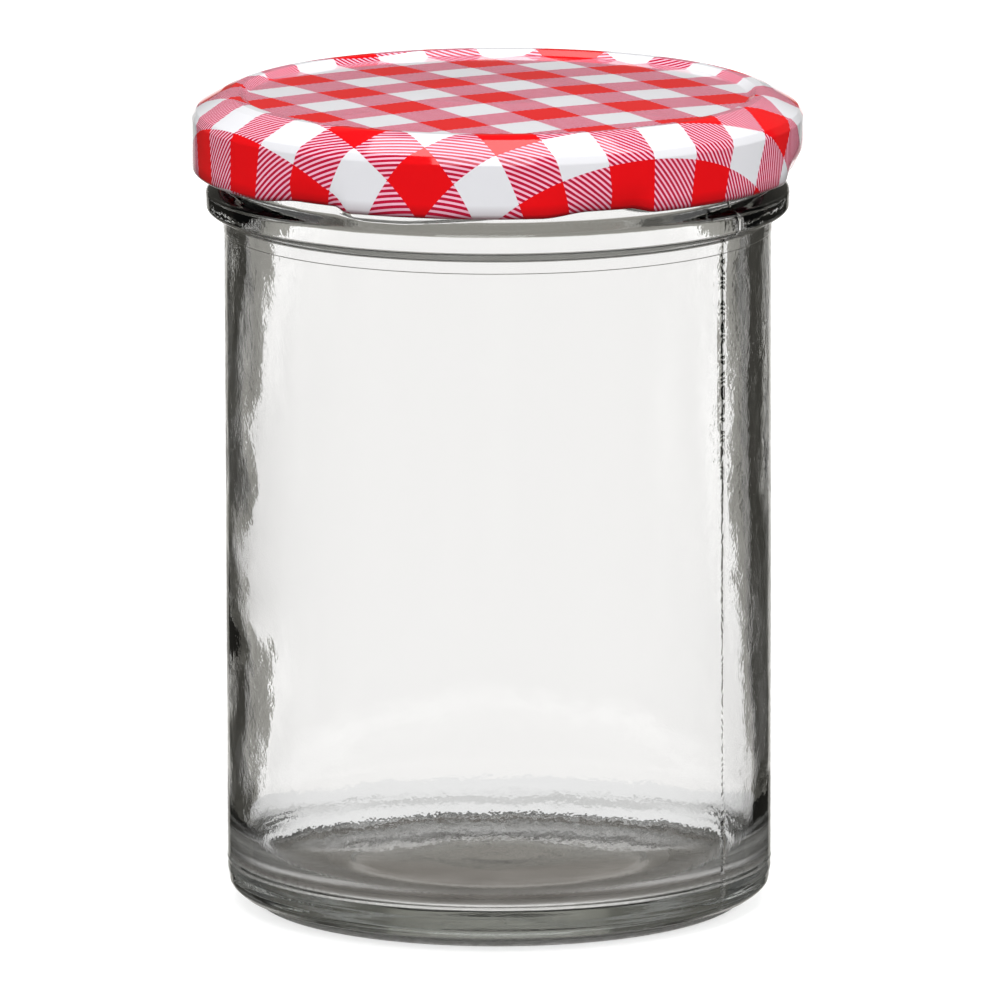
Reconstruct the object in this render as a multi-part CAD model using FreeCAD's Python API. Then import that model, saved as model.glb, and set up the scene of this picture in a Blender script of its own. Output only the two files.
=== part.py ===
import FreeCAD, Part
import math
import os

# A straight-sided glass preserving jar, closed with its pressed steel lug cap.
# Millimetres, +Z up, origin at the centre of the foot on the surface it stands on.
# Radii grow from the body, and the heights of the finish hang from the rim, so
# a new body diameter or jar height carries the neck, the thread and the cap with it.

# ---- glass: body and foot -------------------------------------------------
jar_height = 114.95        # foot to the sealing rim
body_diameter = 77.0
wall = 2.7                 # body wall
foot_inset = 3.7           # foot ring inside the body line
foot_height = 1.7
foot_round = 0.8
foot_land = 1.1            # flat ring that the jar stands on
heel_inset = 1.3           # where the heel starts, inside the body line
heel_rise = 1.0            # heel edge up to the round above it
heel_height = 6.3          # base up to the straight wall
push_up = 2.6              # hollow under the base, at the centre
floor_thickness = 3.9      # at the centre
floor_fall = 2.7           # how much lower the inside floor is at its edge
floor_flat = 9.0           # radius of the level middle of the floor and of the hollow
corner_radius = 5.5        # inside, floor to wall

# ---- glass: finish ----------------------------------------------------------
finish_height = 19.0       # rim down to the neck mould's parting line
band_step = 0.1            # neck band outside the body line
bead_step = 2.5            # transfer bead outside the body line
bead_root_drop = 17.05     # rim down to the foot of the bead
bead_low_drop = 15.95      # rim down to the bead's lower edge
bead_high_drop = 13.3      # rim down to the bead's upper edge
neck_step = 0.9            # neck outside the body line
neck_drop = 11.7           # rim down to where the neck starts
neck_wall = 3.2
rim_land = 0.8             # flat sealing ring on top
rim_round = 0.4            # both edges of the sealing ring
rim_fall = 2.3             # lip slopes down this much from the ring to the neck
rim_shoulder = 1.2         # round at the foot of that slope
mouth_drop = 10.0          # rim down to where the bore opens to the mouth
mouth_blend = 6.0          # length of that change of bore

# ---- glass: thread ----------------------------------------------------------
thread_count = 6
thread_depth = 1.5
thread_width = 1.7
thread_low_drop = 12.05    # rim down to the lowest edge of a thread
thread_flat = 14.0         # degrees at the low end before the thread climbs
thread_climb = 1.06        # climb over the first thread_climb_turn degrees
thread_climb_turn = 17.8
thread_climb_power = 1.4
thread_turn = 65.0         # degrees, end to end
thread_first = -123.5      # azimuth of the low end of the first thread
thread_lead = 6.0          # degrees over which each end swells to full size
thread_end_size = 0.3      # share of full size at the very end
thread_root = 0.4          # how deep a thread is rooted in the neck
thread_step = 5.0          # degrees between thread sections

# ---- cap --------------------------------------------------------------------
sheet = 0.35
panel_gap = 1.0            # bore of the mouth to the panel's edge
panel_depth = 0.77         # panel edge below the crest
panel_crown = 0.64         # centre of the panel above its edge
panel_level = 10.0         # radius of the level middle of the panel
land_margin = 0.15         # cap's flat seat beyond the rim's land, each side
shoulder_in = 3.95         # skirt to the inner edge of the shoulder
shoulder_in_drop = 0.47    # crest down to it
shoulder_out = 0.6         # skirt to the outer edge of the shoulder
shoulder_out_drop = 2.4
skirt_drop = 3.45          # crest down to the straight skirt
skirt_gap = 1.65           # thread to the inside of the skirt
hem_width = 1.5            # curled hem at the mouth of the cap
hem_rise = 1.25
hem_round = 0.74
lug_after = 46.5           # degrees from the low end of a thread to a lug
lug_turn = 16.0
lug_gap = 0.15             # lug to the thread it bears on, and to the neck
lug_lift = 0.6             # lug above the bottom of the hem
lug_press = 1.2            # skirt pressed inwards at a lug
lug_bend = 2.4             # height over which it is pressed in

# ---- worked out -------------------------------------------------------------
body_r = body_diameter / 2
inner_r = body_r - wall
foot_r = body_r - foot_inset
neck_r = body_r + neck_step
mouth_r = neck_r - neck_wall
bead_r = body_r + bead_step
thread_r = neck_r + thread_depth
thread_pitch = 360.0 / thread_count
land_in = mouth_r + rim_round
land_out = land_in + rim_land
crest_z = jar_height + sheet
skirt_r = thread_r + skirt_gap + sheet
panel_r = mouth_r - panel_gap


def thread_low(turn):
    """Height of a thread's lower edge, turn degrees from its low end."""
    climb = max(0.0, turn - thread_flat) / thread_climb_turn
    return jar_height - thread_low_drop + thread_climb * climb ** thread_climb_power


lug_low = thread_low(lug_after) - lug_gap - sheet
hem_z = lug_low - lug_lift


def vec(point):
    return FreeCAD.Vector(point[0], 0.0, point[1])


def rounded(points):
    """Edges through (r, z, round) points, with an arc of that radius at each corner."""
    at = [vec(p) for p in points]
    runs = [b - a for a, b in zip(at, at[1:])]
    half = [0.0] + [(math.pi - a.getAngle(b)) / 2 for a, b in zip(runs, runs[1:])] + [0.0]
    reach = [p[2] / math.tan(h) if h else 0.0 for p, h in zip(points, half)]
    # two rounds that share a run never meet
    for i, run in enumerate(runs):
        share = 0.96 * run.Length / max(reach[i] + reach[i + 1], 1e-9)
        if share < 1:
            reach[i] *= share
            reach[i + 1] *= share
    edges = []
    last = at[0]
    for i in range(1, len(points) - 1):
        back = (at[i - 1] - at[i]).normalize()
        ahead = (at[i + 1] - at[i]).normalize()
        start = at[i] + back * reach[i]
        end = at[i] + ahead * reach[i]
        if start.distanceToPoint(last) > 1e-6:
            edges.append(Part.LineSegment(last, start).toShape())
        if reach[i] > 0.005:
            radius = reach[i] * math.tan(half[i])
            inward = (back + ahead).normalize()
            middle = at[i] + inward * (radius / math.sin(half[i]) - radius)
            edges.append(Part.Arc(start, middle, end).toShape())
            last = end
        else:
            last = start
    edges.append(Part.LineSegment(last, at[-1]).toShape())
    return edges


def shifted(points, distance):
    """The same path moved sideways, to the right of its direction, with its rounds kept concentric."""
    moved = []
    for i, (r, z, radius) in enumerate(points):
        normals = []
        turns = []
        for a, b in ((i - 1, i), (i, i + 1)):
            if 0 <= a and b < len(points):
                dr = points[b][0] - points[a][0]
                dz = points[b][1] - points[a][1]
                length = math.hypot(dr, dz)
                normals.append((dz / length, -dr / length))
                turns.append(math.atan2(dz, dr))
        nr = sum(n[0] for n in normals)
        nz = sum(n[1] for n in normals)
        size = (nr * nr + nz * nz) / len(normals)
        bend = 0.0
        if len(turns) == 2:
            bend = (turns[1] - turns[0] + math.pi) % (2 * math.pi) - math.pi
        grown = radius + distance if bend > 0 else radius - distance
        moved.append((r + distance * nr / size, z + distance * nz / size, max(grown, 0.0)))
    return moved


def turned(edges, start=0.0, turn=360.0):
    """A closed outline turned about the jar's axis."""
    face = Part.Face(Part.Wire(Part.__sortEdges__(edges)))
    if start:
        face.rotate(FreeCAD.Vector(0, 0, 0), FreeCAD.Vector(0, 0, 1), start)
    return face.revolve(FreeCAD.Vector(0, 0, 0), FreeCAD.Vector(0, 0, 1), turn)


def sheet_turned(points, start=0.0, turn=360.0):
    """A path given the sheet's thickness on its inner side, and turned."""
    inside = shifted(points, sheet)
    edges = rounded(points) + rounded(inside)
    for i in (0, -1):
        edges.append(Part.LineSegment(vec(points[i]), vec(inside[i])).toShape())
    return turned(edges, start, turn)


def jar_outline():
    """Outside up from the hollow under the base to the rim, then down the bore to the floor."""
    hollow_r = foot_r - foot_round - foot_land
    floor_z = push_up + floor_thickness
    rim_z = jar_height
    outside = [
        (0.0, push_up, 0.0),
        (floor_flat, push_up, 60.0),
        (hollow_r, 0.0, 0.4),
        (foot_r, 0.0, foot_round),
        (foot_r, foot_height, 0.3),
        (body_r - heel_inset, foot_height, 0.4),
        (body_r - 0.25, foot_height + heel_rise, 1.5),
        (body_r, heel_height, 4.0),
        (body_r, rim_z - finish_height, 0.0),
        (body_r + band_step, rim_z - finish_height, 0.0),
        (body_r + band_step, rim_z - bead_root_drop, 0.6),
        (bead_r, rim_z - bead_low_drop, 0.8),
        (bead_r, rim_z - bead_high_drop, 1.3),
        (neck_r, rim_z - neck_drop, 0.8),
        (neck_r, rim_z - rim_fall, rim_shoulder),
        (land_out, rim_z, rim_round),
        (mouth_r, rim_z, rim_round),
    ]
    bore = [
        (mouth_r, rim_z - mouth_drop, 8.0),
        (inner_r, rim_z - mouth_drop - mouth_blend, 8.0),
        (inner_r, floor_z - floor_fall, corner_radius),
        (floor_flat, floor_z, 60.0),
        (0.0, floor_z, 0.0),
    ]
    return outside + bore


def thread(start):
    """One short thread, from its low end at azimuth start, as sections along the neck."""
    sections = []
    count = int(round(thread_turn / thread_step))
    for i in range(count + 1):
        turn = thread_turn * i / count
        end = min(turn, thread_turn - turn) / thread_lead
        size = thread_end_size + (1 - thread_end_size) * math.sin(min(end, 1.0) * math.pi / 2)
        middle = thread_low(turn) + thread_width / 2
        half = thread_width * size / 2
        top_r = neck_r + thread_depth * size
        corners = [
            (neck_r - thread_root, middle - half),
            (top_r, middle - half * 0.6),
            (top_r, middle + half * 0.5),
            (neck_r - thread_root, middle + half),
        ]
        wire = Part.makePolygon([vec(c) for c in corners + corners[:1]])
        wire.rotate(FreeCAD.Vector(0, 0, 0), FreeCAD.Vector(0, 0, 1), start + turn)
        sections.append(wire)
    return Part.makeLoft(sections, True, False)


def make_jar():
    points = jar_outline()
    edges = rounded(points)
    edges.append(Part.LineSegment(vec(points[-1]), vec(points[0])).toShape())
    glass = turned(edges)
    threads = [thread(thread_first + thread_pitch * i) for i in range(thread_count)]
    return glass.fuse(threads)


def make_cap():
    """The top and skirt in one turn, then the hem and the lugs as sectors round the mouth."""
    bend_z = lug_low + lug_bend
    top = [
        (0.0, crest_z - panel_depth + panel_crown, 0.0),
        (panel_level, crest_z - panel_depth + panel_crown, 700.0),
        (panel_r, crest_z - panel_depth, 1.2),
        (land_in - land_margin * 2, crest_z, 0.6),
        (land_out + land_margin, crest_z, 0.6),
        (skirt_r - shoulder_in, crest_z - shoulder_in_drop, 1.2),
        (skirt_r - shoulder_out, crest_z - shoulder_out_drop, 1.5),
        (skirt_r, crest_z - skirt_drop, 2.5),
        (skirt_r, bend_z, 0.0),
    ]
    hem = [
        (skirt_r, bend_z, 0.0),
        (skirt_r, hem_z, hem_round),
        (skirt_r - hem_width, hem_z, hem_round),
        (skirt_r - hem_width, hem_z + hem_rise, 0.0),
    ]
    lug = [
        (skirt_r, bend_z, 0.0),
        (skirt_r, bend_z - 0.5, 1.0),
        (skirt_r - lug_press, lug_low, 0.4),
        (neck_r + lug_gap * 2, lug_low, 0.0),
    ]
    shell = sheet_turned(top)
    sectors = []
    for i in range(thread_count):
        start = thread_first + thread_pitch * i + lug_after
        sectors.append(sheet_turned(lug, start, lug_turn))
        sectors.append(sheet_turned(hem, start + lug_turn, thread_pitch - lug_turn))
    return shell.fuse(sectors)


def check(name, shape):
    shape = shape.removeSplitter()
    if shape.ShapeType == "Compound" and len(shape.Solids) == 1:
        shape = shape.Solids[0]
    print(name, shape.ShapeType, "solids", len(shape.Solids), "valid", shape.isValid(),
          "faces", len(shape.Faces), "volume cm3", round(shape.Volume / 1000, 2))
    return shape


os.makedirs("parts", exist_ok=True)
for name, shape in (("jar", make_jar()), ("cap", make_cap())):
    check(name, shape).exportStep("parts/" + name + ".step")
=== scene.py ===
import math
import bmesh
import bpy
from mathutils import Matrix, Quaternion, Vector, noise


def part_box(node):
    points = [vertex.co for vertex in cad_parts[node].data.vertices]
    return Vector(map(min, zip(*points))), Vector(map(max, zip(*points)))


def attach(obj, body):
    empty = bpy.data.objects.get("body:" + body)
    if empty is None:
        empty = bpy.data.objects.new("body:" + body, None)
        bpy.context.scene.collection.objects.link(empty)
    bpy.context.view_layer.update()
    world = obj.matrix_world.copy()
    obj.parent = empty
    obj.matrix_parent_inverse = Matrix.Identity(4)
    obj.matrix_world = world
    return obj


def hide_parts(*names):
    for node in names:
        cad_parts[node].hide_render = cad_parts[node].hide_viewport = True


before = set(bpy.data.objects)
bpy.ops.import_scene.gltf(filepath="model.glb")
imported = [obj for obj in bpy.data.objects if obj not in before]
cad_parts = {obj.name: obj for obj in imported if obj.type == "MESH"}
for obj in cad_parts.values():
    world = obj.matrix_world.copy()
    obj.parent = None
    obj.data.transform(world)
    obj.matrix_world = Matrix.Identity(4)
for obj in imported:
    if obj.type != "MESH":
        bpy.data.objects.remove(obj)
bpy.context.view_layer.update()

# A clear glass preserving jar with a printed steel lug cap, in a plain white studio.
# Metres and degrees. The sizes of the solids come from the frame; the rest are the maker's own.

MM = 0.001
jar_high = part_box("jar")[1]
cap_low, cap_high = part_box("cap")
rim_z = jar_high[2]
bead_r = jar_high[0]
crest_z = cap_high[2]
hem_z = cap_low[2]
sheet = crest_z - rim_z
skirt_r = cap_high[0]

# ---- glass sizes ------------------------------------------------------------
body_r = bead_r - 2.5 * MM
inner_r = body_r - 2.7 * MM
neck_r = body_r + 0.9 * MM
mouth_r = neck_r - 3.2 * MM
foot_r = body_r - 3.7 * MM
foot_height = 1.7 * MM
push_up = 2.6 * MM             # hollow under the base
floor_z = push_up + 3.9 * MM
floor_flat = 9 * MM            # radius of the level middle of the floor and of the hollow
base_seam_z = 6.4 * MM         # where the base plate met the mould
neck_seam_z = rim_z - 19.0 * MM
seam_azimuth = -35.5           # the seam between the mould's halves
thread_count = 6
thread_first = -123.5          # azimuth of the low end of the first thread
thread_turn = 65.0             # from end to end
thread_flat = 14.0             # turn before a thread climbs
thread_climb = 1.06 * MM       # over the first thread_climb_turn degrees
thread_climb_turn = 17.8
thread_lead = 6.0              # over which each end swells to full size
thread_width = 1.7 * MM
thread_depth = 1.5 * MM
thread_root = 0.1 * MM
GLASS_STEPS = 248              # facets round the axis
CAP_STEPS = 384

# ---- cap sizes --------------------------------------------------------------
square = 7.294 * MM            # one printed square, on the flat sheet
print_turn = 29.47             # how the print lies on the cap
print_offset = (8.02 * MM, 6.82 * MM)
hatch_pitch = 2 * square / math.sqrt(2) / 16
hatch_share = 0.56             # how much of a hatched square is red
lug_first = thread_first + 46.5
lug_turn = 16.0
lug_bend = 4.0 * MM            # height over which the skirt is pressed in at a lug
lug_press = 1.25 * MM
lug_lift = 0.55 * MM
wide_lug = (-39, 21, 16)       # one lug is wider: azimuths it lies between, extra degrees
hem_in = 1.5 * MM              # width of the curled hem
hem_rise = 1.25 * MM


# ---- shaping helpers --------------------------------------------------------
def path(bm, corners, segments=5):
    """A line of edges through (r, z, radius) corners, each rounded with that radius."""
    line = [bm.verts.new((r, 0.0, z)) for r, z, _ in corners]
    for a, b in zip(line, line[1:]):
        bm.edges.new((a, b))
    rounds = []
    for before, vert, after, corner in zip(line, line[1:], line[2:], corners[1:]):
        if corner[2] > 0:
            corner_turn = (vert.co - before.co).angle(after.co - vert.co)
            rounds.append((vert, corner[2] * math.tan(corner_turn / 2)))
    for vert, reach in rounds:
        bmesh.ops.bevel(bm, geom=[vert], offset=reach, offset_type="OFFSET", affect="VERTICES",
                        segments=segments, profile=0.5, material=-1, clamp_overlap=False)


def divide(bm, longest):
    """Cuts every edge of the line that is longer than longest(z, r) into even lengths."""
    for edge in list(bm.edges):
        a, b = (v.co.copy() for v in edge.verts)
        middle = (a + b) / 2
        cuts = int((b - a).length / longest(middle.z, middle.x))
        if cuts > 0:
            bmesh.ops.subdivide_edges(bm, edges=[edge], cuts=cuts)


def turn_round(bm, steps):
    """Spins the line about the axis into a closed skin, with its poles merged."""
    bmesh.ops.spin(bm, geom=bm.verts[:] + bm.edges[:], cent=(0, 0, 0), axis=(0, 0, 1),
                   angle=2 * math.pi, steps=steps, use_merge=True, use_duplicate=False)
    bmesh.ops.remove_doubles(bm, verts=bm.verts, dist=1e-6)


def polar(co):
    """Distance from the axis, and azimuth in degrees."""
    return math.hypot(co.x, co.y), math.degrees(math.atan2(co.y, co.x))


def set_radius(vert, radius):
    r = math.hypot(vert.co.x, vert.co.y)
    if r > 1e-7:
        vert.co.x *= radius / r
        vert.co.y *= radius / r


def smooth_step(low, high, value):
    t = min(max((value - low) / (high - low), 0.0), 1.0)
    return t * t * (3 - 2 * t)


def new_object(name, bm, *materials, smooth=True):
    mesh = bpy.data.meshes.new(name)
    bm.to_mesh(mesh)
    bm.free()
    if smooth:
        mesh.shade_smooth()
    for material in materials:
        mesh.materials.append(material)
    obj = bpy.data.objects.new(name, mesh)
    bpy.context.scene.collection.objects.link(obj)
    return obj


def new_piece(name, node, slot, bm, *materials):
    """A piece that stands for one of the solids."""
    obj = new_object(name, bm, *materials)
    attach(obj, "root")
    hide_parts(node)


# ---- node helpers -----------------------------------------------------------
class Nodes:
    """Adds nodes to a tree and links them: an input is a socket or a constant value."""
    def __init__(self, tree):
        self.tree = tree
        tree.nodes.clear()

    def put(self, socket, value):
        if isinstance(value, bpy.types.NodeSocket):
            self.tree.links.new(value, socket)
        else:
            socket.default_value = value

    def add(self, kind, inputs=None, **settings):
        node = self.tree.nodes.new(kind)
        for key, value in settings.items():
            setattr(node, key, value)
        for key, value in (inputs or {}).items():
            self.put(node.inputs[key], value)
        return node

    def math(self, operation, *values):
        node = self.add("ShaderNodeMath", operation=operation)
        for socket, value in zip(node.inputs, values):
            self.put(socket, value)
        return node.outputs[0]

    def mix(self, factor, a, b):
        node = self.add("ShaderNodeMix", data_type="RGBA")
        for i, value in ((0, factor), (6, a), (7, b)):
            self.put(node.inputs[i], value)
        return node.outputs[2]

    def ramp(self, value, low, high, start=0.0, end=1.0):
        """From start at low to end at high, and level beyond."""
        return self.add("ShaderNodeMapRange", {"Value": value, "From Min": low, "From Max": high,
                                               "To Min": start, "To Max": end}).outputs[0]

    def bell(self, value, middle, width):
        """1 at the middle, and next to nothing two widths away."""
        off = self.math("DIVIDE", self.math("SUBTRACT", value, middle), width)
        return self.math("EXPONENT", self.math("MULTIPLY", self.math("POWER", off, 2.0), -1.0))

    def place(self, source="Object"):
        """The coordinates, whole and as x, y and z."""
        whole = self.add("ShaderNodeTexCoord").outputs[source]
        apart = self.add("ShaderNodeSeparateXYZ", {0: whole}).outputs
        return whole, apart[0], apart[1], apart[2]

    def from_axis(self, x, y):
        return self.math("SQRT", self.math("ADD", self.math("POWER", x, 2.0), self.math("POWER", y, 2.0)))

    def turned(self, x, y, degrees):
        """The same place along and across a direction."""
        a = math.radians(degrees)
        along = self.math("ADD", self.math("MULTIPLY", x, math.cos(a)), self.math("MULTIPLY", y, math.sin(a)))
        across = self.math("SUBTRACT", self.math("MULTIPLY", y, math.cos(a)),
                           self.math("MULTIPLY", x, math.sin(a)))
        return along, across

    def ray(self, name):
        return self.add("ShaderNodeLightPath").outputs[name]

    def show(self, surface, volume=None):
        inputs = {"Surface": surface.outputs[0]}
        if volume:
            inputs["Volume"] = volume.outputs[0]
        self.add("ShaderNodeOutputMaterial", inputs)


def new_material(name):
    material = bpy.data.materials.new(name)
    material.use_nodes = True
    return material, Nodes(material.node_tree)


def rgb(r, g, b):
    """A colour given as it looks on a screen, 0 to 255."""
    def linear(c):
        c /= 255
        return c / 12.92 if c <= 0.04045 else ((c + 0.055) / 1.055) ** 2.4
    return (linear(r), linear(g), linear(b), 1.0)


# ---- glass ------------------------------------------------------------------
def glass_material():
    material, n = new_material("clear_glass")
    coords, x, y, z = n.place()
    far = n.from_axis(x, y)
    # the inside of the base is finely uneven and a little soft
    inside = n.math("LESS_THAN", far, inner_r + 1.0 * MM)
    base = n.math("MULTIPLY", inside, n.ramp(z, 8 * MM, 14 * MM, 1.0, 0.0))
    roughness = n.math("MULTIPLY", base, n.ramp(far, 26 * MM, 30 * MM, 0.08, 0.2))
    fine = n.add("ShaderNodeTexNoise", {"Vector": coords, "Scale": 1400.0, "Detail": 1.0, "Roughness": 0.6})
    grain = n.math("MULTIPLY", fine.outputs["Fac"], n.math("ADD", 1.0, n.math("MULTIPLY", base, 1.2)))
    # a slow ripple in the wall, drawn out into level streaks round the heel
    heel = n.math("MULTIPLY", n.math("LESS_THAN", z, 6.3 * MM),
                  n.math("GREATER_THAN", far, foot_r - 0.5 * MM))
    level, upright = n.ramp(heel, 0, 1, 1.0, 0.15), n.ramp(heel, 0, 1, 1.0, 3.5)
    stretch = n.add("ShaderNodeCombineXYZ", {0: level, 1: level, 2: upright})
    drawn = n.add("ShaderNodeVectorMath", {0: coords, 1: stretch.outputs[0]}, operation="MULTIPLY").outputs[0]
    ripple = n.add("ShaderNodeTexNoise", {"Vector": drawn, "Scale": 420.0, "Detail": 0.0}).outputs[0]
    ripple_height = n.ramp(heel, 0, 1, 0.015 * MM, 0.07 * MM)
    # the mould seam: a fine row of beads, strong near the finish and the base, faint between
    along, across = n.turned(x, y, seam_azimuth)
    ridge = n.math("MULTIPLY", n.bell(across, 0.0, 0.34 * MM),
                   n.math("GREATER_THAN", along, body_r - 0.6 * MM))
    beads = n.math("SINE", n.math("ADD", n.math("MULTIPLY", z, 4700.0), n.math("MULTIPLY", ripple, 26.0)))
    beads = n.ramp(beads, -0.3, 0.7, 0.1, 1.0)
    strong = n.math("ADD", n.ramp(z, 60 * MM, 76 * MM, 0.14, 1.0), n.ramp(z, 12 * MM, 20 * MM, 0.8, 0.0))
    ridge = n.math("MULTIPLY", n.math("MULTIPLY", ridge, beads), strong)

    height = n.math("ADD", n.math("MULTIPLY", grain, 0.008 * MM), n.math("MULTIPLY", ridge, 0.19 * MM))
    height = n.math("ADD", height, n.math("MULTIPLY", ripple, ripple_height))
    bump = n.add("ShaderNodeBump", {"Height": height, "Strength": 1.0, "Distance": 1.0})
    glass = n.add("ShaderNodeBsdfPrincipled", {
        "Base Color": (1.0, 1.0, 1.0, 1.0), "Roughness": roughness, "IOR": 1.52, "Transmission Weight": 1.0,
        "Normal": bump.outputs["Normal"]})
    clear = n.add("ShaderNodeBsdfTransparent", {"Color": (0.93, 0.94, 0.93, 1.0)})
    shown = n.add("ShaderNodeMixShader", {0: n.ray("Is Shadow Ray"), 1: glass.outputs[0],
                                          2: clear.outputs[0]})
    n.show(shown, n.add("ShaderNodeVolumeAbsorption", {"Color": (0.80, 0.86, 0.80, 1.0), "Density": 8.0}))
    return material


def foot_material():
    """The stippled ring that the jar stands on."""
    material, n = new_material("stippled_foot")
    coords = n.place()[0]
    stipple = n.add("ShaderNodeTexVoronoi", {"Vector": coords, "Scale": 1100.0})
    bump = n.add("ShaderNodeBump", {"Height": stipple.outputs["Distance"], "Strength": 1.0,
                                    "Distance": 0.15 * MM})
    n.show(n.add("ShaderNodeBsdfPrincipled", {
        "Base Color": (1.0, 1.0, 1.0, 1.0), "Roughness": 0.45, "IOR": 1.52, "Transmission Weight": 1.0,
        "Normal": bump.outputs["Normal"]}))
    return material


def glass_corners():
    """Outside up from the hollow under the base to the rim, then down the bore to the floor."""
    r, z, seam, part = body_r, rim_z, base_seam_z, neck_seam_z
    hollow = [
        (0.0, push_up, 0), (floor_flat, push_up, 60 * MM), (20.3 * MM, push_up - 1.16 * MM, 0.3 * MM),
        (20.8 * MM, push_up - 1.40 * MM, 0.5 * MM), (foot_r - 1.9 * MM, 0.0, 0.4 * MM),
    ]
    heel = [
        (foot_r, 0.0, 0.8 * MM), (foot_r, foot_height, 0.3 * MM), (r - 1.3 * MM, foot_height, 0.4 * MM),
        (r - 0.3 * MM, 2.7 * MM, 1.5 * MM), (r, 5.0 * MM, 3 * MM),
        (r, seam - 0.4 * MM, 0.5 * MM), (r + 0.05 * MM, seam, 0.5 * MM), (r, seam + 0.4 * MM, 0.5 * MM),
    ]
    finish = [
        (r, part, 0.1 * MM), (r + 0.1 * MM, part + 0.1 * MM, 0.1 * MM),
        (r + 0.1 * MM, z - 17.05 * MM, 0.6 * MM), (bead_r, z - 15.95 * MM, 0.8 * MM),
        (bead_r, z - 13.3 * MM, 1.1 * MM), (neck_r, z - 11.7 * MM, 0.8 * MM),
        (neck_r, z - 2.3 * MM, 1.2 * MM), (mouth_r + 1.2 * MM, z, 0.4 * MM), (mouth_r, z, 0.4 * MM),
    ]
    bore = [
        (mouth_r, z - 10 * MM, 8 * MM), (inner_r, z - 16 * MM, 8 * MM),
        (inner_r, floor_z - 2.7 * MM, 7.0 * MM), (floor_flat, floor_z, 60 * MM), (0.0, floor_z, 0),
    ]
    return hollow + heel + finish + bore


def thread_low(turn, number):
    """The lower side of a thread. The first one starts lowest and shows below the cap."""
    drop = 12.05 * MM if number == 0 else 11.0 * MM
    climb = max(0.0, turn - thread_flat) / thread_climb_turn
    return rim_z - drop + thread_climb * climb ** 1.4


def thread_radius(azimuth, z):
    """How far out a thread stands at this place on the neck, or 0 between threads."""
    best = 0.0
    for i in range(thread_count):
        turn = (azimuth - thread_first - i * 360.0 / thread_count) % 360.0
        if turn > thread_turn:
            continue
        size = math.sin(min(min(turn, thread_turn - turn) / thread_lead, 1.0) * math.pi / 2)
        middle = thread_low(turn, i) + thread_width / 2
        across = abs(z - middle) / (thread_width / 2 * max(size, 0.05))
        if across < 1:
            best = max(best, neck_r - thread_root + (thread_depth * size + thread_root) * (1 - across ** 4))
    return best


def blown(z, points):
    """A smooth run through (height, amount) points, in millimetres."""
    height = min(max(z / MM, points[0][0]), points[-1][0])
    for (low, start), (high, end) in zip(points, points[1:]):
        if height <= high:
            return (start + (end - start) * smooth_step(low, high, height)) * MM
    return points[-1][1] * MM


def thin_places(azimuth, z):
    """How much the wall is thinner or thicker than usual, where the hot glass was blown unevenly."""
    left = blown(z, ((14, 0.45), (20, 0.3), (28, 0.0), (35, 0.0), (43, 0.6), (51, 0.9), (60, 0.4),
                     (68, 0.5), (76, 0.15), (84, 0.0), (92, -0.25)))
    right = blown(z, ((14, 0.7), (25, 0.45), (34, 0.25), (50, 0.0), (60, -0.2), (72, -0.25), (92, -0.3)))
    off_left = azimuth % 360 - 180
    off_right = (azimuth + 180) % 360 - 180
    return left * math.exp(-(off_left / 42) ** 2) + right * math.exp(-(off_right / 42) ** 2)


def seam_height(azimuth, z):
    """The mould seam: a fine low ridge up both sides, under the beads that the material adds."""
    off = (azimuth - seam_azimuth + 90) % 180 - 90
    if abs(off) > 1.2:
        return 0.0
    near = abs((azimuth - seam_azimuth + 180) % 360 - 180) < 90
    waver = 1 + 0.5 * noise.noise(Vector((off, z * 700, 3)))
    return (0.025 if near else 0.01) * MM * waver * math.exp(-(off / 0.3) ** 2)


def shape_glass(bm):
    """Raises the threads and makes the walls and the base slightly uneven."""
    for vert in bm.verts:
        r, azimuth = polar(vert.co)
        z = vert.co.z
        around = Vector((math.cos(math.radians(azimuth)), math.sin(math.radians(azimuth)), 0.0))
        if r > neck_r - 0.5 * MM and rim_z - 13 * MM < z < rim_z - 3 * MM:                # neck
            set_radius(vert, max(r, thread_radius(azimuth, z)))
        elif r > body_r - 0.3 * MM and 7 * MM < z < rim_z - 19.2 * MM:                    # outside wall
            wave = noise.noise(around * 2.2 + Vector((0, 0, z * 14)))
            set_radius(vert, r + 0.03 * MM * wave + seam_height(azimuth, z))
        elif inner_r - 1 * MM < r < body_r - 1.5 * MM and 8 * MM < z < rim_z - 10 * MM:   # inside wall
            fade = smooth_step(8 * MM, 22 * MM, z) * (1 - smooth_step(rim_z - 20 * MM, rim_z - 11 * MM, z))
            slow = noise.noise(around * 1.6 + Vector((4, 7, z * 18)))
            quick = noise.noise(around * 6.0 + Vector((9, 1, z * 60)))
            set_radius(vert, r + thin_places(azimuth, z) * fade + (0.07 * slow + 0.07 * quick) * MM * fade)
        elif r < foot_r - 4 * MM and z < floor_z + 1 * MM:                                # base
            ring = math.sin(r / (3.1 * MM) * 2 * math.pi) * 0.004 * MM
            vert.co.z += ring + 0.03 * MM * noise.noise(Vector((vert.co.x, vert.co.y, z * 3)) * 60)


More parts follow.
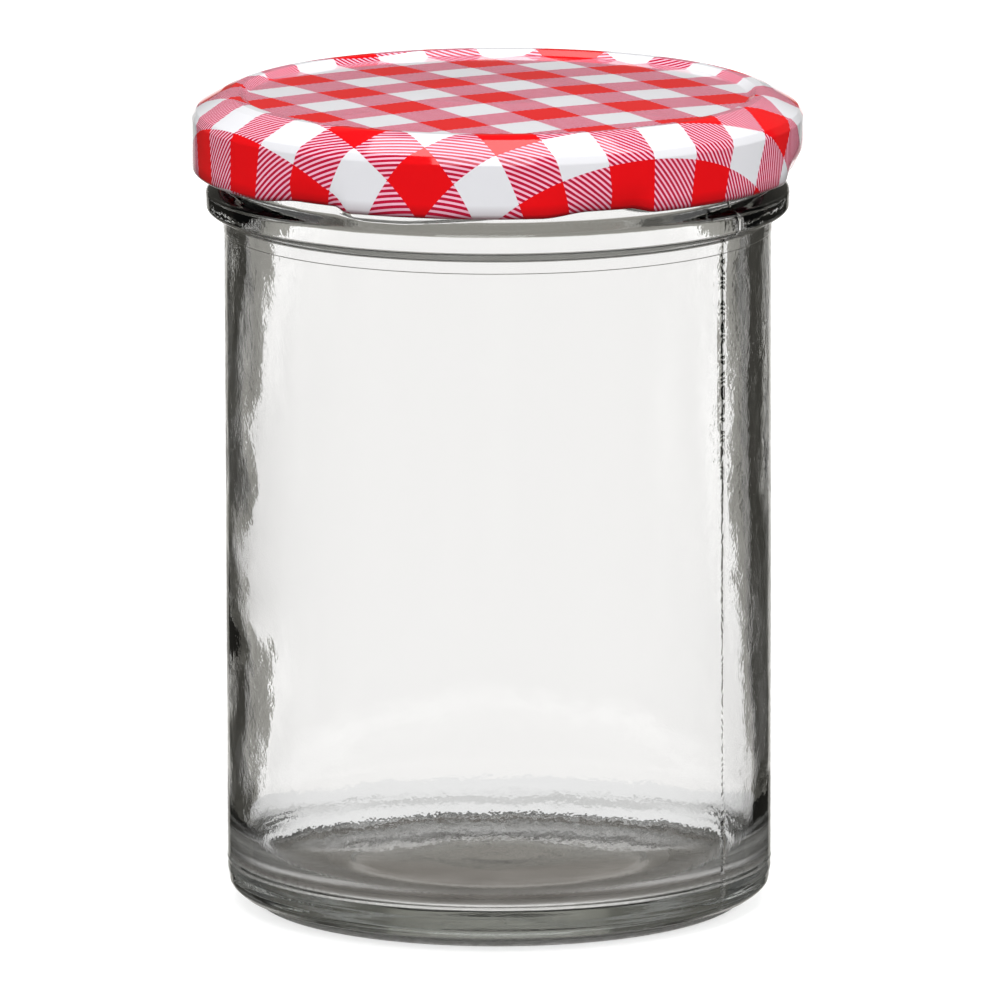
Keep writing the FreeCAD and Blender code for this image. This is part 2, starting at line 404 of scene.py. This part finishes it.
def make_glass(clear, stippled):
    bm = bmesh.new()
    path(bm, glass_corners())

    def longest(z, r):
        if r > neck_r - 1 * MM and rim_z - 13.2 * MM < z < rim_z - 4 * MM:
            return 0.22 * MM
        return 1.2 * MM if r < 30 * MM else 1.7 * MM
    divide(bm, longest)
    turn_round(bm, GLASS_STEPS)
    for off in (-0.7, -0.4, -0.2, 0.0, 0.2, 0.4, 0.7):         # fine strips for the seam
        a = math.radians(seam_azimuth + off)
        bmesh.ops.bisect_plane(bm, geom=bm.verts[:] + bm.edges[:] + bm.faces[:], dist=1e-7,
                               plane_co=(0, 0, 0), plane_no=(-math.sin(a), math.cos(a), 0))
    shape_glass(bm)
    bmesh.ops.recalc_face_normals(bm, faces=bm.faces)
    for face in bm.faces:
        if face.calc_center_median().z < 0.9 * MM:
            face.material_index = 1
    new_piece("jar_glass_body", "jar", "jar_glass", bm, clear, stippled)


# ---- cap --------------------------------------------------------------------
def cap_corners():
    """The middle of the panel, over the crest and the shoulder, down the skirt and into the hem."""
    r, z = skirt_r, crest_z
    panel_r = mouth_r - 1.0 * MM
    return [
        (0.0, z - 0.13 * MM, 0), (10 * MM, z - 0.13 * MM, 9 * MM), (panel_r, z - 0.77 * MM, 0.6 * MM),
        (mouth_r + 0.1 * MM, z, 0.3 * MM), (mouth_r + 1.35 * MM, z, 0.3 * MM),
        (r - 3.95 * MM, z - 0.47 * MM, 0.5 * MM), (r - 0.6 * MM, z - 2.4 * MM, 0.5 * MM),
        (r, z - 3.45 * MM, 0.6 * MM), (r, hem_z, 0.74 * MM), (r - hem_in, hem_z, 0.74 * MM),
        (r - hem_in, hem_z + hem_rise, 0),
    ]


def walk(start):
    """The line's vertices in order from start."""
    order, last = [start], None
    while True:
        ahead = [e.other_vert(order[-1]) for e in order[-1].link_edges]
        ahead = [v for v in ahead if v is not last]
        if not ahead:
            return order
        last = order[-1]
        order.append(ahead[0])


def cap_material():
    """The print is laid out on the flat sheet, so it bends and stretches with the pressing."""
    material, n = new_material("gingham_print")
    flat = n.add("ShaderNodeSeparateXYZ", {0: n.add("ShaderNodeUVMap", uv_map="flat_sheet").outputs[0]})
    along, across = n.turned(flat.outputs[0], flat.outputs[1], print_turn)

    def stripe(value, offset):
        turned = n.math("FRACT", n.math("DIVIDE", n.math("SUBTRACT", value, offset), 2 * square))
        return n.math("LESS_THAN", turned, 0.5)
    one = stripe(along, print_offset[0])
    two = stripe(across, print_offset[1])
    both = n.math("MULTIPLY", one, two)
    either = n.math("MAXIMUM", one, two)
    diagonal = n.math("DIVIDE", n.math("ADD", along, across), math.sqrt(2) * hatch_pitch)
    line = n.math("LESS_THAN", n.math("FRACT", diagonal), hatch_share)
    hatch = n.mix(line, rgb(255, 194, 216), rgb(196, 24, 60))
    colour = n.mix(either, rgb(236, 236, 240), hatch)
    colour = n.mix(both, colour, rgb(240, 17, 24))
    # painted shade: the print darkens to a deep maroon towards the bottom of the hem, where it curls under
    edge = n.add("ShaderNodeAttribute", attribute_name="hem_painted_shade").outputs["Fac"]
    colour = n.mix(n.math("MULTIPLY", edge, 0.8), colour, rgb(90, 16, 22))
    peel = n.add("ShaderNodeTexNoise", {"Vector": n.place()[0], "Scale": 900.0, "Detail": 1.0})
    bump = n.add("ShaderNodeBump", {"Height": peel.outputs["Fac"], "Strength": 1.0, "Distance": 0.002 * MM})
    n.show(n.add("ShaderNodeBsdfPrincipled", {
        "Base Color": colour, "Roughness": 0.4, "Specular IOR Level": 0.0, "Coat Weight": 1.0,
        "Coat IOR": 1.5, "Coat Roughness": 0.06, "Normal": bump.outputs["Normal"]}))
    return material


def lining_material():
    """The white lacquer inside the cap."""
    material, n = new_material("white_lining")
    cloud = n.add("ShaderNodeTexNoise", {"Vector": n.place()[0], "Scale": 120.0, "Detail": 3.0})
    colour = n.mix(cloud.outputs["Fac"], rgb(226, 226, 222), rgb(240, 240, 236))
    n.show(n.add("ShaderNodeBsdfPrincipled", {"Base Color": colour, "Roughness": 0.4}))
    return material


def press_lugs(bm):
    """Presses the hem inwards and a little upwards at each lug."""
    pitch = 360.0 / thread_count
    for vert in bm.verts:
        r, azimuth = polar(vert.co)
        if vert.co.z > hem_z + lug_bend or r < skirt_r - 2 * MM:
            continue
        off = (azimuth - lug_first - lug_turn / 2 + pitch / 2) % pitch - pitch / 2
        size = smooth_step(-lug_turn / 2 - 5, -lug_turn / 2 + 5, off)
        wide = wide_lug[2] if wide_lug[0] < azimuth < wide_lug[1] else 0
        size *= 1 - smooth_step(lug_turn / 2 - 2.5 + wide, lug_turn / 2 + 2 + wide, off)
        depth = smooth_step(0, lug_bend, hem_z + lug_bend - vert.co.z)
        set_radius(vert, r - lug_press * size * depth)
        vert.co.z += lug_lift * size * depth


def make_cap(outer, inner):
    bm = bmesh.new()
    path(bm, cap_corners(), segments=6)
    divide(bm, lambda z, r: 0.5 * MM if z < hem_z + lug_bend else 1.5 * MM)
    # where each ring lay on the flat sheet: between keeping its area and keeping its length
    flat = bm.verts.layers.float.new("flat_radius")
    order = walk(min(bm.verts, key=lambda v: v.co.x))
    area = length = 0.0
    for a, b in zip(order, order[1:]):
        length += (b.co - a.co).length
        area += (a.co.x + b.co.x) * (b.co - a.co).length
        b[flat] = 1.26 * math.sqrt(area) - 0.26 * length
    turn_round(bm, CAP_STEPS)
    bmesh.ops.recalc_face_normals(bm, faces=bm.faces)
    if sum(f.normal.z for f in bm.faces if f.calc_center_median().z > crest_z - 1 * MM) < 0:
        bmesh.ops.reverse_faces(bm, faces=bm.faces)
    uv = bm.loops.layers.uv.new("flat_sheet")
    for face in bm.faces:
        for loop in face.loops:
            a = math.radians(polar(loop.vert.co)[1])
            loop[uv].uv = (loop.vert[flat] * math.cos(a), loop.vert[flat] * math.sin(a))
    # painted shade: how strongly the print is darkened towards the hem's bottom edge
    edge = bm.verts.layers.float.new("hem_painted_shade")
    for vert in bm.verts:
        vert[edge] = 1 - smooth_step(hem_z + 0.15 * MM, hem_z + hem_rise, vert.co.z)
    press_lugs(bm)
    outside = set(bm.faces)
    bmesh.ops.solidify(bm, geom=bm.faces[:], thickness=sheet)
    for face in bm.faces:
        face.material_index = 0 if face in outside else 1
    new_piece("cap_pressed", "cap", "cap_print", bm, outer, inner)


# ---- studio -----------------------------------------------------------------
def studio_camera():
    data = bpy.data.cameras.new("camera")
    data.sensor_width = 36.0
    data.lens = 557.1
    data.clip_start, data.clip_end = 0.05, 60.0
    camera = bpy.data.objects.new("camera", data)
    bpy.context.scene.collection.objects.link(camera)
    distance, elevation, roll = 2.181, math.radians(10.9), math.radians(-0.13)
    back = Vector((0.0, -math.cos(elevation), math.sin(elevation)))
    turn = (-back).to_track_quat("-Z", "Y") @ Quaternion((0, 0, 1), roll)
    target = Vector((0, 0, 58 * MM)) + turn @ Vector((0.22 * MM, -1.136 * MM, 0))
    camera.rotation_mode = "QUATERNION"
    camera.rotation_quaternion = turn
    camera.location = target + back * distance
    bpy.context.scene.camera = camera
    return camera


def stage_grid(name, size, material):
    bm = bmesh.new()
    bmesh.ops.create_grid(bm, x_segments=1, y_segments=1, size=size)
    obj = new_object(name, bm, material, smooth=False)
    return obj


def make_floor():
    """White paper that keeps the jar's shadow, lifted towards white where the camera sees it."""
    material, n = new_material("floor_paper")
    white = n.add("ShaderNodeBsdfDiffuse", {"Color": (0.7, 0.7, 0.7, 1.0)})
    dim = n.add("ShaderNodeBsdfDiffuse", {"Color": (0.55, 0.55, 0.55, 1.0)})
    lift = n.add("ShaderNodeEmission", {"Color": (1, 1, 1, 1), "Strength": 0.52})
    lifted = n.add("ShaderNodeAddShader", {0: white.outputs[0], 1: lift.outputs[0]})
    n.show(n.add("ShaderNodeMixShader", {0: n.ray("Is Camera Ray"), 1: dim.outputs[0], 2: lifted.outputs[0]}))
    floor = stage_grid("floor", 12.0, material)
    floor.location.z = -0.2 * MM
    floor.visible_transmission = floor.visible_glossy = False


def make_shaded_floor():
    """Painted shade and painted light: an emitting disc on the paper near the jar that only rays through the
    glass see, dim under the hollow, where hardly any light reaches, with a painted bright ring that the thick
    glass of the foot throws, and bright round it."""
    material, n = new_material("shaded_paper")
    coords, x, y, _ = n.place()
    far = n.from_axis(x, y)
    mirror = n.math("GREATER_THAN", n.ray("Glossy Depth"), 0.5)          # turned back inside the glass
    piped = n.math("MULTIPLY", mirror, n.math("LESS_THAN", n.ray("Transmission Depth"), 2.5))
    cloud = n.add("ShaderNodeTexNoise", {"Vector": coords, "Scale": 90.0, "Detail": 2.0})
    tone = n.mix(cloud.outputs["Fac"], (0.13, 0.115, 0.10, 1), (0.38, 0.355, 0.33, 1))
    # painted shade: darker out from under the hollow's edge
    tone = n.mix(n.ramp(far, 20.5 * MM, 23 * MM, 1.0, 0.62), (0, 0, 0, 1), tone)
    # painted light: a pale ring under the hollow's edge
    painted_lip_light = n.math("MULTIPLY", n.bell(far, 20.6 * MM, 0.7 * MM), 0.45)
    tone = n.mix(painted_lip_light, tone, (0.75, 0.73, 0.7, 1))
    # painted light: a bright ring under the foot, seen by rays turned back inside the glass
    ring = n.math("MULTIPLY", n.bell(far, foot_r - 6.3 * MM, 2.0 * MM), piped)
    tone = n.mix(ring, tone, (1.05, 1.04, 1.02, 1))
    # painted light: bright paper round the foot
    tone = n.mix(n.ramp(far, foot_r + 2.5 * MM, foot_r + 4.5 * MM), tone, (0.95, 0.95, 0.95, 1))
    # painted shade: a dim band just outside the foot
    dim = n.math("MULTIPLY", n.bell(far, foot_r + 11.0 * MM, 1.8 * MM), 0.5)
    tone = n.mix(dim, tone, (0.4, 0.4, 0.39, 1))
    unlit = n.math("MULTIPLY", mirror, n.ramp(far, foot_r + 8 * MM, foot_r + 16 * MM))
    n.show(n.add("ShaderNodeEmission", {"Color": tone, "Strength": n.math("SUBTRACT", 1.0, unlit)}))
    bm = bmesh.new()
    bmesh.ops.create_circle(bm, cap_ends=True, segments=64, radius=foot_r + 30 * MM)
    shade = new_object("floor_shade", bm, material, smooth=False)
    shade.location.z = -0.1 * MM
    shade.visible_camera = shade.visible_diffuse = shade.visible_glossy = shade.visible_shadow = False


def make_back_card(camera):
    """The white backdrop that glass and lacquer see behind the jar, fading to dark at its sides.
    It hangs behind the jar on the camera's boom, so that the glass has its dark edges from every side.
    Its own coordinates are tangents of the angles that it is seen at from the jar."""
    material, n = new_material("back_card")
    _, x, y, _ = n.place()
    edge = 1.2                  # half the card

    def fall(value, points):
        """Brightness, up to 2, through (angle, brightness) points."""
        ramp = n.add("ShaderNodeFloatCurve", {"Value": n.math("DIVIDE", value, edge)})
        curve = ramp.mapping.curves[0]
        curve.points[0].location = (0.0, points[0][1] / 2)
        curve.points[1].location = (1.0, points[-1][1] / 2)
        for angle, level in points[1:-1]:
            curve.points.new(math.tan(math.radians(angle)) / edge, level / 2)
        for point in curve.points:
            point.handle_type = "VECTOR"
        ramp.mapping.update()
        return n.math("MULTIPLY", ramp.outputs[0], 2.0)
    side = fall(n.math("ABSOLUTE", x),
                [(0, 1.035), (3, 1.045), (6, 1.1), (8.4, 1.22), (10.4, 1.34), (11.1, 0.44), (17, 0.42),
                 (18.3, 0.035), (35, 0.045), (50, 0.06)])
    down = fall(n.math("MAXIMUM", n.math("MULTIPLY", y, -1.0), 0.0),
                [(0, 1.7), (8.7, 1.7), (9, 1.06), (13, 0.33), (25, 0.29), (50, 0.25)])
    up = fall(n.math("MAXIMUM", y, 0.0),
              [(0, 1.7), (7.7, 1.7), (8, 1.06), (12, 0.32), (24, 0.3), (30, 0.18), (50, 0.15)])
    # a dimmed reflection: the card's upper part is darker to rays mirrored straight off the lacquer and the
    # glass, so what they reflect of it is darker
    mirrored_straight_off = n.math("MULTIPLY", n.math("LESS_THAN", n.ray("Transmission Depth"), 0.5),
                    n.math("GREATER_THAN", y, 0.2))
    up = n.math("MULTIPLY", up, n.math("SUBTRACT", 1.0, n.math("MULTIPLY", mirrored_straight_off, 0.88)))
    level = n.math("MINIMUM", side, n.math("MINIMUM", up, down))
    level = n.math("MAXIMUM", level, n.ramp(n.math("ABSOLUTE", y), 0.05, 0.16, 0.0, 0.11))
    tone = n.mix(level, (1.02, 0.99, 0.86, 1), (1.01, 1.0, 0.99, 1))
    n.show(n.add("ShaderNodeEmission", {"Color": tone, "Strength": level}))
    card = stage_grid("back_card", edge, material)
    card.parent = camera
    card.location = (0, 0, -40.0)
    card.scale = (38.0, 38.0, 38.0)
    card.visible_camera = card.visible_diffuse = card.visible_shadow = False


def make_world():
    """White to the camera, bright to the paper, and to the glass only overhead."""
    world = bpy.data.worlds.new("studio")
    bpy.context.scene.world = world
    world.use_nodes = True
    n = Nodes(world.node_tree)
    lamp = n.math("MULTIPLY", n.math("GREATER_THAN", n.ray("Diffuse Depth"), 0.5), 0.75)
    overhead = n.ramp(n.place("Generated")[3], 0.55, 0.75, 0.09, 0.9)
    through = n.math("MULTIPLY", n.math("GREATER_THAN", n.ray("Transmission Depth"), 0.5), overhead)
    lamp = n.math("MAXIMUM", lamp, n.math("MAXIMUM", through, 0.03))
    level = n.math("MAXIMUM", n.ray("Is Camera Ray"), lamp)
    sky = n.add("ShaderNodeBackground", {"Color": (1, 1, 1, 1), "Strength": level})
    n.add("ShaderNodeOutputWorld", {"Surface": sky.outputs[0]})


def soft_box(name, place, width, height, power):
    """A lamp aimed at the jar's middle. It lights nothing that is seen through the glass."""
    data = bpy.data.lights.new(name, "AREA")
    data.shape = "RECTANGLE"
    data.size, data.size_y = width, height
    data.energy = power
    data.use_nodes = True
    n = Nodes(data.node_tree)
    open_air = n.math("LESS_THAN", n.ray("Transmission Depth"), 0.5)
    n.add("ShaderNodeOutputLight", {0: n.add("ShaderNodeEmission", {"Strength": open_air}).outputs[0]})
    lamp = bpy.data.objects.new(name, data)
    lamp.location = place
    lamp.rotation_mode = "QUATERNION"
    lamp.rotation_quaternion = (Vector((0, 0, 60 * MM)) - Vector(place)).to_track_quat("-Z", "Y")
    bpy.context.scene.collection.objects.link(lamp)


def make_studio():
    camera = studio_camera()
    make_floor()
    make_shaded_floor()
    make_back_card(camera)
    make_world()
    soft_box("key", (-0.1, -0.85, 1.0), 0.7, 0.7, 5.2)
    soft_box("top", (0.1, 0.2, 1.1), 1.0, 0.6, 6.0)
    scene = bpy.context.scene
    scene.view_settings.view_transform = "Standard"
    scene.cycles.max_bounces = 9
    scene.cycles.transmission_bounces = 9
    scene.cycles.diffuse_bounces = 1
    scene.cycles.transparent_max_bounces = 14


make_glass(glass_material(), foot_material())
make_cap(cap_material(), lining_material())
make_studio()
